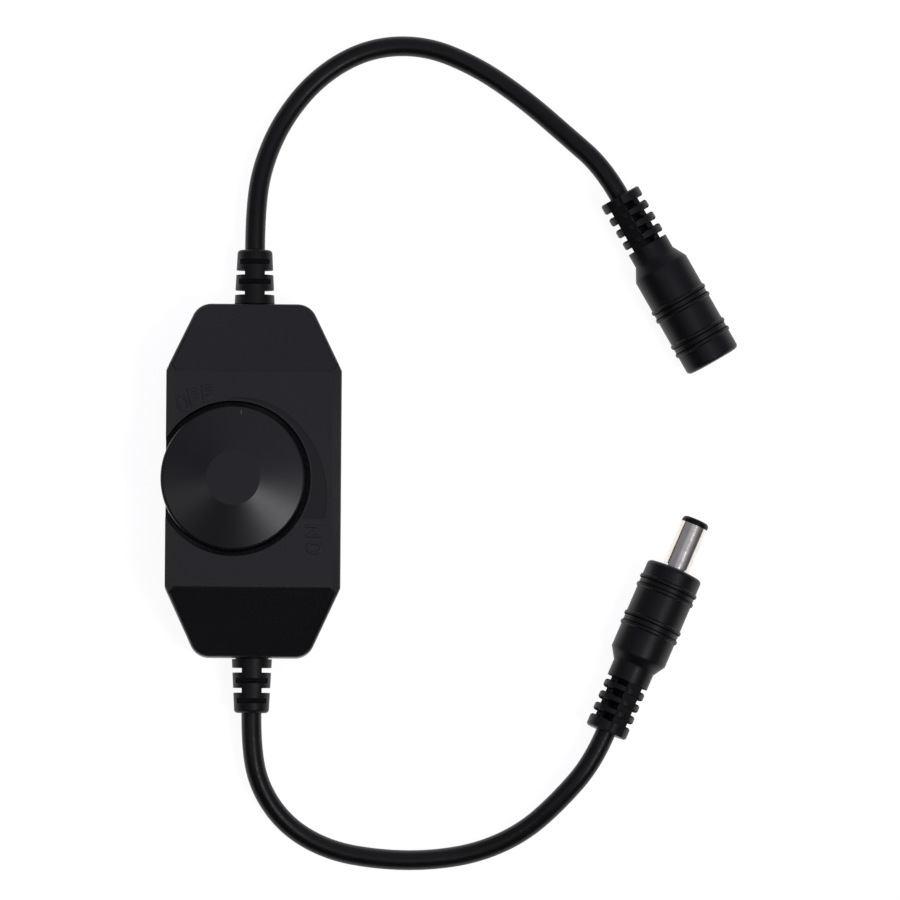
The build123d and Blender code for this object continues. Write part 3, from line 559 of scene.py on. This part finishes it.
def weigh_open_edges(
    form: bmesh.types.BMesh,
    sharper_than: float,
    softened: Callable[[Vector], bool],
) -> None:
    """Marks the sharp outer edges of a form for softening.

    An edge counts as outer when nothing of the form lies in front of it.

    Args:
        form: The shape.
        sharper_than: Smallest angle between an edge's faces, in degrees.
        softened: Tells from an edge's middle whether it may be softened.
    """
    weights = form.edges.layers.float.new("bevel_weight_edge")
    tree = BVHTree.FromBMesh(form)
    form.normal_update()
    for edge in form.edges:
        if len(edge.link_faces) != 2 or edge.calc_face_angle_signed() < math.radians(sharper_than):
            continue
        middle = (edge.verts[0].co + edge.verts[1].co) / 2
        outward = (edge.link_faces[0].normal + edge.link_faces[1].normal).normalized()
        if softened(middle) and tree.ray_cast(middle + outward * EDGE_CLEARANCE, outward)[0] is None:
            edge[weights] = 1.0


def mark_sharp(form: bmesh.types.BMesh, degrees: float) -> None:
    """Keeps edges above an angle crisp in the shading."""
    for edge in form.edges:
        edge.smooth = len(edge.link_faces) == 2 and edge.calc_face_angle(0.0) < math.radians(degrees)


def soften(piece: bpy.types.Object, radius: float, segments: int) -> None:
    """Rounds the marked edges of a piece.

    Args:
        piece: A piece whose edges are weighted.
        radius: How far the full softening reaches, in metres.
        segments: Faces across each softened edge.
    """
    edges = piece.modifiers.new("softened edges", "BEVEL")
    edges.width = radius
    edges.segments = segments
    edges.limit_method = "WEIGHT"
    edges.use_clamp_overlap = False


def even_shading(piece: bpy.types.Object) -> None:
    """Evens a piece's shading between its crisp edges."""
    evened = piece.modifiers.new("evened shading", "WEIGHTED_NORMAL")
    evened.keep_sharp = True


def stand_in(piece: bpy.types.Object, node: str) -> None:
    """Puts a piece on a CAD node's body in that node's place.

    Args:
        piece: The piece.
        node: The CAD node that it stands for.
    """
    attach(piece, frame["nodes"][node]["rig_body"])
    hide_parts(node)
    log.info("built %s", piece.name)


@dataclass
class Shells:
    """The two moulded halves of the box."""

    edge: float = 0.28 * MM
    edge_faces: int = 3
    wedge_floor: float = 19.7 * MM
    floor_slack: float = 0.02 * MM
    level: float = 0.99
    crisp_reach: float = 19.8 * MM
    seam: float = 7.0 * MM
    flat_angle: float = 0.8
    crisp_angle: float = 25.0

    def is_plain(self, middle: Vector) -> bool:
        """Tells the outside's edges from the crisp ones of the knob well, the wedge and the seam.

        Args:
            middle: The middle of an edge.

        Returns:
            Whether the edge is one of the outside's.
        """
        return math.hypot(middle.x - KNOB_X, middle.y) > self.crisp_reach and middle.z > self.seam

    def is_wedge_floor(self, face: bmesh.types.BMFace) -> bool:
        """Tells whether a face is level and as high as the wedge's floor."""
        height = face.calc_center_median().z
        return abs(height - self.wedge_floor) < self.floor_slack and face.normal.z > self.level

    def build(self, paint: Paintshop) -> None:
        """Builds both halves with softened edges and a smooth floor in the wedge.

        Args:
            paint: Where the finishes come from.
        """
        for node in ("top_housing", "bottom_housing"):
            form = merged_form(node)
            flat = math.radians(self.flat_angle)
            bmesh.ops.dissolve_limit(form, angle_limit=flat, verts=form.verts, edges=form.edges)
            weigh_open_edges(form, self.crisp_angle, self.is_plain)
            mark_sharp(form, self.crisp_angle)
            for face in form.faces:
                face.material_index = int(self.is_wedge_floor(face))
            piece = new_piece(node.replace("housing", "shell"), form)
            soften(piece, self.edge, self.edge_faces)
            even_shading(piece)
            paint.dress(piece, Finishes.HOUSING, Finishes.WEDGE)
            stand_in(piece, node)


@dataclass
class Grips:
    """The moulded grips and strain reliefs, with painted shade in their slots and grooves: a darker, duller
    copy of their plastic.
    """

    reach: float = 2.2 * MM
    spread: float = 50.0
    rays: int = 12
    ray_start: float = 0.01 * MM
    fewest_hits: int = 3
    crisp_angle: float = 40.0

    def is_closed_in(self, tree: BVHTree, face: bmesh.types.BMFace) -> bool:
        """Tells whether the piece itself stands close in front of one of its faces.

        Args:
            tree: The piece's faces.
            face: The face.

        Returns:
            Whether enough slanting rays from the face's middle meet the piece.
        """
        start = face.calc_center_median() + face.normal * self.ray_start
        slant = Quaternion(face.normal.orthogonal(), math.radians(self.spread)) @ face.normal
        turns = (Quaternion(face.normal, math.tau * step / self.rays) for step in range(self.rays))
        hits = [tree.ray_cast(start, turn @ slant, self.reach)[0] for turn in turns]
        return sum(hit is not None for hit in hits) >= self.fewest_hits

    def build_one(
        self,
        paint: Paintshop,
        node: str,
        name: str,
        finishes: tuple[Finishes, Finishes],
    ) -> None:
        """Builds one grip or strain relief.

        Args:
            paint: Where the finishes come from.
            node: The CAD node that it stands for.
            name: The piece's name.
            finishes: The finish of its outside, and the darker one painted on its slots and grooves as their
                shade.
        """
        form = merged_form(node)
        mark_sharp(form, self.crisp_angle)
        form.normal_update()
        tree = BVHTree.FromBMesh(form)
        for face in form.faces:
            # Faces that the piece closes in get the second finish, which is painted shade
            face.material_index = int(self.is_closed_in(tree, face))
        piece = new_piece(name, form)
        even_shading(piece)
        paint.dress(piece, *finishes)
        stand_in(piece, node)

    def build(self, paint: Paintshop) -> None:
        """Builds both connectors' grips and both strain reliefs of the box.

        Args:
            paint: Where the finishes come from.
        """
        # The second finish of each pair is painted shade for the slots and grooves
        grip = (Finishes.CONNECTOR, Finishes.RECESS_SHADE)
        relief = (Finishes.GLAND, Finishes.GROOVE_SHADE)
        self.build_one(paint, "plug_body", "plug_grip", grip)
        self.build_one(paint, "socket_body", "socket_grip", grip)
        self.build_one(paint, "input_gland", "input_relief", relief)
        self.build_one(paint, "output_gland", "output_relief", relief)


@dataclass(frozen=True)
class Stroke:
    """The shape of the letters' strokes, in font units."""

    thickening: float = 0.035
    slope: float = 0.03
    slope_steps: int = 1
    half_depth: float = 0.02
    merge_distance: float = 0.0001

    def letter(self, character: str) -> bmesh.types.BMesh:
        """Makes a letter's solid about z 0.

        Args:
            character: The letter.

        Returns:
            Its shape in font units, with closed edges.
        """
        curve = bpy.data.curves.new("letter " + character, "FONT")
        curve.body = character
        curve.extrude = self.half_depth
        curve.bevel_depth = self.slope
        curve.bevel_resolution = self.slope_steps
        curve.offset = self.thickening - self.slope
        holder = bpy.data.objects.new(curve.name, curve)
        bpy.context.scene.collection.objects.link(holder)
        bpy.context.view_layer.update()
        mesh = bpy.data.meshes.new_from_object(holder)
        bpy.data.objects.remove(holder)
        form = bmesh.new()
        form.from_mesh(mesh)
        bpy.data.meshes.remove(mesh)
        bmesh.ops.remove_doubles(form, verts=form.verts, dist=self.merge_distance)
        return form


@dataclass(frozen=True)
class Letter:
    """One raised letter: its size, its middle on the panel and its turn in degrees."""

    character: str
    width: float
    height: float
    middle: tuple[float, float]
    turn: float

    def form(self, stroke: Stroke, relief: float) -> bmesh.types.BMesh:
        """Makes the letter's shape at its place, half sunk through z 0.

        Args:
            stroke: The shape of its strokes.
            relief: How far it stands up, in metres.

        Returns:
            The letter's shape.
        """
        form = stroke.letter(self.character)
        xs = [v.co.x for v in form.verts]
        ys = [v.co.y for v in form.verts]
        centre = Vector(((max(xs) + min(xs)) / 2, (max(ys) + min(ys)) / 2, 0.0))
        top = max(v.co.z for v in form.verts)
        sizes = (self.width / (max(xs) - min(xs)), self.height / (max(ys) - min(ys)), relief / top)
        turn = Matrix.Rotation(math.radians(self.turn), 3, "Z")
        bmesh.ops.translate(form, verts=form.verts, vec=-centre)
        bmesh.ops.scale(form, verts=form.verts, vec=sizes)
        bmesh.ops.rotate(form, verts=form.verts, matrix=turn)
        bmesh.ops.translate(form, verts=form.verts, vec=(*self.middle, 0.0))
        return form


@dataclass
class Lettering:
    """OFF and ON, moulded into the panel beside the knob."""

    panel: float = 20.0 * MM
    stroke: Stroke = Stroke()
    relief: float = 0.16 * MM
    letters: tuple[Letter, ...] = (
        Letter("O", 2.5 * MM, 3.3 * MM, (-13.95 * MM, 14.7 * MM), 20.0),
        Letter("F", 2.0 * MM, 3.4 * MM, (-11.9 * MM, 16.1 * MM), 16.0),
        Letter("F", 2.0 * MM, 3.4 * MM, (-9.3 * MM, 16.8 * MM), 11.0),
        Letter("O", 2.5 * MM, 3.3 * MM, (12.15 * MM, -13.7 * MM), 90.0),
        Letter("N", 2.5 * MM, 3.3 * MM, (12.0 * MM, -10.35 * MM), 90.0),
    )

    def build(self, paint: Paintshop) -> None:
        """Builds each letter and sets it on the panel.

        Args:
            paint: Where the finishes come from.
        """
        for number, letter in enumerate(self.letters, start=1):
            form = letter.form(self.stroke, self.relief)
            bmesh.ops.translate(form, verts=form.verts, vec=(0.0, 0.0, self.panel))
            piece = new_piece(f"letter_{number}", form)
            piece.data.shade_flat()
            paint.dress(piece, Finishes.HOUSING)
            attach(piece, "housing")
        log.info("built the lettering")


@dataclass
class Pointer:
    """The pale line in the knob's groove."""

    angle: float = 83.4
    inner: float = 12.75 * MM
    outer: float = 13.65 * MM
    inner_height: float = 21.26 * MM
    outer_height: float = 21.06 * MM
    width: float = 0.36 * MM
    thickness: float = 0.08 * MM
    thickness_per_edge: float = 3.0
    edge_faces: int = 2

    def build(self, paint: Paintshop) -> None:
        """Builds the line along the cone's slope.

        Args:
            paint: Where the finishes come from.
        """
        form = bmesh.new()
        bmesh.ops.create_cube(form, size=1.0)
        run = self.outer - self.inner
        fall = self.outer_height - self.inner_height
        bmesh.ops.scale(form, verts=form.verts, vec=(math.hypot(run, fall), self.width, self.thickness))
        bmesh.ops.bevel(
            form,
            geom=list(form.edges),
            offset=self.thickness / self.thickness_per_edge,
            segments=self.edge_faces,
            profile=0.5,
            affect="EDGES",
            material=-1,
        )
        tilt = Matrix.Rotation(math.atan2(-fall, run), 3, "Y")
        turn = Matrix.Rotation(math.radians(self.angle), 3, "Z")
        middle = ((self.inner + self.outer) / 2, 0.0, (self.inner_height + self.outer_height) / 2)
        bmesh.ops.rotate(form, verts=form.verts, matrix=tilt)
        bmesh.ops.translate(form, verts=form.verts, vec=middle)
        bmesh.ops.rotate(form, verts=form.verts, matrix=turn)
        bmesh.ops.translate(form, verts=form.verts, vec=(KNOB_X, 0.0, 0.0))
        piece = new_piece("pointer_line", form)
        paint.dress(piece, Finishes.MARK)
        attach(piece, "dial")
        log.info("built the pointer")


@dataclass
class Lead:
    """One cord, from its strain relief to its connector's rear face."""

    name: str
    node: str
    route: tuple[Point, ...]
    length: float
    connector: tuple[str, ...]
    diameter: float = 4.0 * MM
    rim_steps: int = 10
    run_steps: int = 16

    def build(self, paint: Paintshop) -> None:
        """Builds the cord as one smooth spline.

        Args:
            paint: Where the finishes come from.
        """
        curve = bpy.data.curves.new(self.name, "CURVE")
        curve.dimensions = "3D"
        curve.bevel_depth = self.diameter / 2
        curve.bevel_resolution = self.rim_steps
        curve.resolution_u = self.run_steps
        curve.use_fill_caps = True
        line = curve.splines.new("NURBS")
        line.points.add(len(self.route) - 1)
        for point, place in zip(line.points, self.route):
            point.co = (*place, 1.0)
        line.order_u = 3
        line.use_endpoint_u = True
        piece = bpy.data.objects.new(self.name, curve)
        bpy.context.scene.collection.objects.link(piece)
        paint.dress(piece, Finishes.CORD)
        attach(piece, "housing")
        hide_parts(self.node)
        log.info("built %s", self.name)


@dataclass(frozen=True)
class ConnectorPlace:
    """How a connector lies, in millimetres and degrees.

    The face is the centre of its front. It points at the heading, from +Y towards +X, with its nose down
    by the dip. The length runs from the front to the rear face, and behind that the cord is straight for
    the lead in.
    """

    face: Point
    heading: float
    dip: float
    length: float
    lead_in: float = 6.5

    def cord_end(self) -> tuple[Point, Point]:
        """Works out the cord's last two points, straight behind the connector.

        Returns:
            The point before the rear face, and the rear face's centre, in millimetres.
        """
        heading = math.radians(self.heading)
        dip = math.radians(self.dip)
        level = math.cos(dip)
        outward = Vector((math.sin(heading) * level, math.cos(heading) * level, -math.sin(dip)))
        rear = Vector(self.face) - outward * self.length
        return tuple(rear - outward * self.lead_in), tuple(rear)


def in_metres(points: list[Point]) -> tuple[Point, ...]:
    """Turns points in millimetres into metres."""
    return tuple(tuple(part * MM for part in point) for point in points)


def input_lead() -> Lead:
    """Returns the cord that ends in the socket."""
    socket = ConnectorPlace(face=(91.83, 24.46, 5.72), heading=149.8, dip=2.5, length=38.3)
    route = [
        (0.0, 46.15, 6.0),
        (0.0, 53.5, 6.0),
        (1.2, 62.8, 4.6),
        (5.35, 72.75, 2.6),
        (12.6, 81.6, 2.0),
        (22.4, 87.2, 2.0),
        (33.5, 87.85, 2.0),
        (44.1, 83.65, 2.2),
        (53.7, 77.0, 3.6),
        (61.9, 69.7, 6.2),
        *socket.cord_end(),
    ]
    return Lead(
        name="input_lead",
        node="input_cord",
        route=in_metres(route),
        length=0.1119,
        connector=("socket_grip", "socket_core", "socket_contact", "socket_centre_pin"),
    )


def output_lead() -> Lead:
    """Returns the cord that ends in the plug."""
    plug = ConnectorPlace(face=(84.4, -16.7, 6.0), heading=22.9, dip=1.5, length=35.55)
    route = [
        (0.0, -46.15, 6.0),
        (0.0, -53.5, 6.0),
        (2.0, -61.6, 4.6),
        (7.4, -68.8, 2.8),
        (15.7, -73.4, 2.0),
        (25.6, -75.1, 2.0),
        (35.6, -75.25, 2.0),
        (45.6, -73.6, 2.2),
        (54.4, -69.5, 3.4),
        (61.4, -63.2, 5.6),
        *plug.cord_end(),
    ]
    return Lead(
        name="output_lead",
        node="output_cord",
        route=in_metres(route),
        length=0.1004,
        connector=("plug_grip", "plug_barrel", "plug_insulator", "plug_inner_contact"),
    )


@dataclass(frozen=True)
class Lamp:
    """A square lamp, with its place and side in metres and its power in watts."""

    name: str
    place: Point
    side: float
    power: float

    def build(self, aim: Point) -> None:
        """Sets up the lamp.

        Args:
            aim: The point that it faces.
        """
        light = bpy.data.lights.new(self.name, "AREA")
        light.size = self.side
        light.energy = self.power
        holder = bpy.data.objects.new(self.name, light)
        holder.location = self.place
        holder.rotation_euler = (Vector(aim) - Vector(self.place)).to_track_quat("-Z", "Y").to_euler()
        bpy.context.scene.collection.objects.link(holder)


@dataclass(frozen=True)
class Fade:
    """A smooth change of the room's light, by one part of the direction that is looked in."""

    part: str
    span: Range
    levels: Range


@dataclass
class Floor:
    """A white floor that keeps the object's shadow."""

    half_size: float = 6.0
    drop: float = 0.05 * MM
    blotch: float = 0.4
    dark: Colour = (0.38, 0.38, 0.38)
    light: Colour = (0.42, 0.42, 0.42)
    roughness: float = 0.9
    glow_distances: Range = (0.125, 0.22)
    glow_levels: Range = (0.9, 0.1)

    def paint(self, middle: Point) -> bpy.types.Material:
        """Makes the floor's paint, which glows where the camera and the shiny pieces see it.

        Args:
            middle: The point that it glows round.

        Returns:
            The paint.
        """
        board = NodeBoard("floor paint")
        paper = board.noise(self.blotch, detail=2.0)
        board.join(board.between(paper, self.dark, self.light), board.shader.inputs["Base Color"])
        board.shader.inputs["Roughness"].default_value = self.roughness
        board.shader.inputs["Specular IOR Level"].default_value = 0.0
        rays = board.add("ShaderNodeLightPath").outputs
        seen = board.reckon("ADD", rays["Is Camera Ray"], rays["Is Glossy Ray"])
        seen_through = board.reckon("ADD", seen, rays["Is Transmission Ray"], use_clamp=True)
        away = board.add("ShaderNodeVectorMath", operation="DISTANCE")
        away.inputs[1].default_value = middle
        board.join(board.place, away.inputs[0])
        lift = board.span(away.outputs["Value"], self.glow_distances, self.glow_levels)
        glow = board.add("ShaderNodeEmission")
        board.join(board.reckon("MULTIPLY", seen_through, lift), glow.inputs["Strength"])
        both = board.add("ShaderNodeAddShader")
        board.join(board.shader.outputs["BSDF"], both.inputs[0])
        board.join(glow.outputs["Emission"], both.inputs[1])
        board.join(both.outputs["Shader"], board.tree.nodes["Material Output"].inputs["Surface"])
        return board.material

    def build(self, middle: Point) -> None:
        """Builds the floor.

        Args:
            middle: The point that it glows round.
        """
        form = bmesh.new()
        bmesh.ops.create_grid(form, x_segments=1, y_segments=1, size=self.half_size)
        bmesh.ops.translate(form, verts=form.verts, vec=(0.0, 0.0, -self.drop))
        piece = new_piece("floor", form)
        piece.data.materials.append(self.paint(middle))


@dataclass
class Studio:
    """Floor, sky, lamps and camera."""

    aim: Point = (39.3 * MM, 6.85 * MM, 0.0)
    distance: float = 2.0
    tilt: float = 2.6
    lean: float = 1.2
    roll: float = 0.4
    view_width: float = 180 * MM
    sensor: float = 36.0
    farthest: float = 50.0
    room_colour: Colour = (0.92, 0.94, 1.12)
    room_fades: tuple[Fade, ...] = (
        Fade("Y", (-0.44, -0.12), (0.05, 0.45)),
        Fade("X", (-0.42, -0.08), (0.50, 1.0)),
        Fade("X", (0.45, 0.90), (1.0, 0.45)),
        Fade("Z", (-0.15, 0.25), (0.4, 1.0)),
    )
    lamps: tuple[Lamp, ...] = (
        Lamp("right lamp", (0.53, -0.35, 1.30), 0.30, 2.8),
        Lamp("left lamp", (-0.52, -0.17, 1.30), 0.20, 0.36),
    )

    def sky(self) -> None:
        """Sets a bright room, dark on the near side and dimmer at the left, at the far right and low down."""
        world = bpy.data.worlds.new("room")
        bpy.context.scene.world = world
        world.use_nodes = True
        tree = world.node_tree
        background = tree.nodes["Background"]
        background.inputs["Color"].default_value = (*self.room_colour, 1.0)
        parts = tree.nodes.new("ShaderNodeSeparateXYZ")
        tree.links.new(tree.nodes.new("ShaderNodeTexCoord").outputs["Generated"], parts.inputs["Vector"])
        level = None
        for fade in self.room_fades:
            node = tree.nodes.new("ShaderNodeMapRange")
            node.interpolation_type = "SMOOTHSTEP"
            set_range(node, fade.span, fade.levels)
            tree.links.new(parts.outputs[fade.part], node.inputs["Value"])
            if level is None:
                level = node.outputs["Result"]
                continue
            product = tree.nodes.new("ShaderNodeMath")
            product.operation = "MULTIPLY"
            tree.links.new(level, product.inputs[0])
            tree.links.new(node.outputs["Result"], product.inputs[1])
            level = product.outputs["Value"]
        tree.links.new(level, background.inputs["Strength"])

    def camera(self) -> None:
        """Places the camera high over the table, tilted a little towards the near side."""
        lean = math.tan(math.radians(self.lean))
        tilt = math.tan(math.radians(self.tilt))
        back = Vector((-lean, -tilt, 1.0)).normalized()
        level_right = Vector((0.0, 1.0, 0.0)).cross(back).normalized()
        right = Matrix.Rotation(math.radians(self.roll), 3, back) @ level_right
        up = back.cross(right)
        lens = bpy.data.cameras.new("camera")
        lens.sensor_width = self.sensor
        lens.lens = self.sensor * self.distance / self.view_width
        lens.clip_end = self.farthest
        holder = bpy.data.objects.new("camera", lens)
        turn = Matrix((right, up, back)).transposed()
        holder.matrix_world = Matrix.Translation(Vector(self.aim) + back * self.distance) @ turn.to_4x4()
        bpy.context.scene.collection.objects.link(holder)
        bpy.context.scene.camera = holder

    def build(self) -> None:
        """Builds the whole studio."""
        Floor().build(self.aim)
        self.sky()
        for lamp in self.lamps:
            lamp.build(self.aim)
        self.camera()
        bpy.context.scene.view_settings.view_transform = "Standard"
        log.info("built the studio")


def main() -> None:
    """Builds the pieces in order, then the studio."""
    logging.basicConfig(level=logging.INFO, format="%(name)s: %(message)s")
    paint = Paintshop()
    paint.dress_nodes()
    builders: list[Callable[[Paintshop], None]] = [
        Shells().build,
        Grips().build,
        Lettering().build,
        Pointer().build,
        input_lead().build,
        output_lead().build,
    ]
    for build in builders:
        build(paint)
    Studio().build()


if __name__ == "__main__":
    main()
